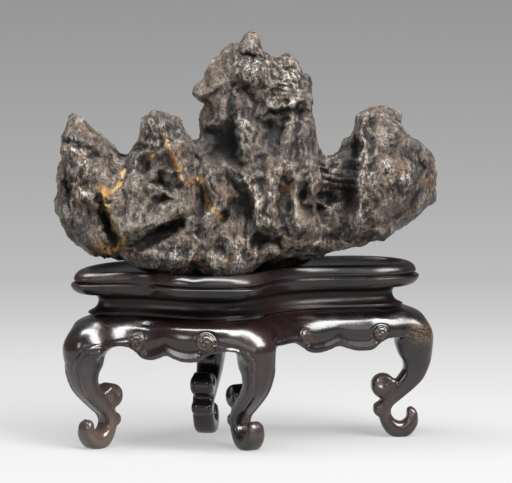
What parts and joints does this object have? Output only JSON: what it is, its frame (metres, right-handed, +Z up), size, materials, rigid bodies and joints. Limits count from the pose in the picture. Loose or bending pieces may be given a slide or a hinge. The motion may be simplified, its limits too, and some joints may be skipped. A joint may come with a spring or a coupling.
{
  "type": "scholars rock",
  "caption": "Upright mountain-shaped display stone with several craggy peaks, resting on a lobed carved hardwood stand with scrolled cabriole legs",
  "frame": {"origin": "middle of the whole object's footprint rectangle, on the level the four feet stand on", "axes": "+Z up; the front, where the peaks stand side by side, faces -Y; +X runs to the right as seen from the front"},
  "size_m": [0.153, 0.0739, 0.1639],
  "materials": {
    "stone": "rough dark natural stone with a handled, half-glossy patina",
    "wood": "very dark polished hardwood, glossy, with dusty recesses"
  },
  "bodies": {
    "root": {"rock": "stone", "top_plate": "wood", "waist": "wood", "apron_frame": "wood", "leg_left": "wood", "leg_front": "wood", "leg_right": "wood", "leg_back": "wood"}
  },
  "joints": []
}
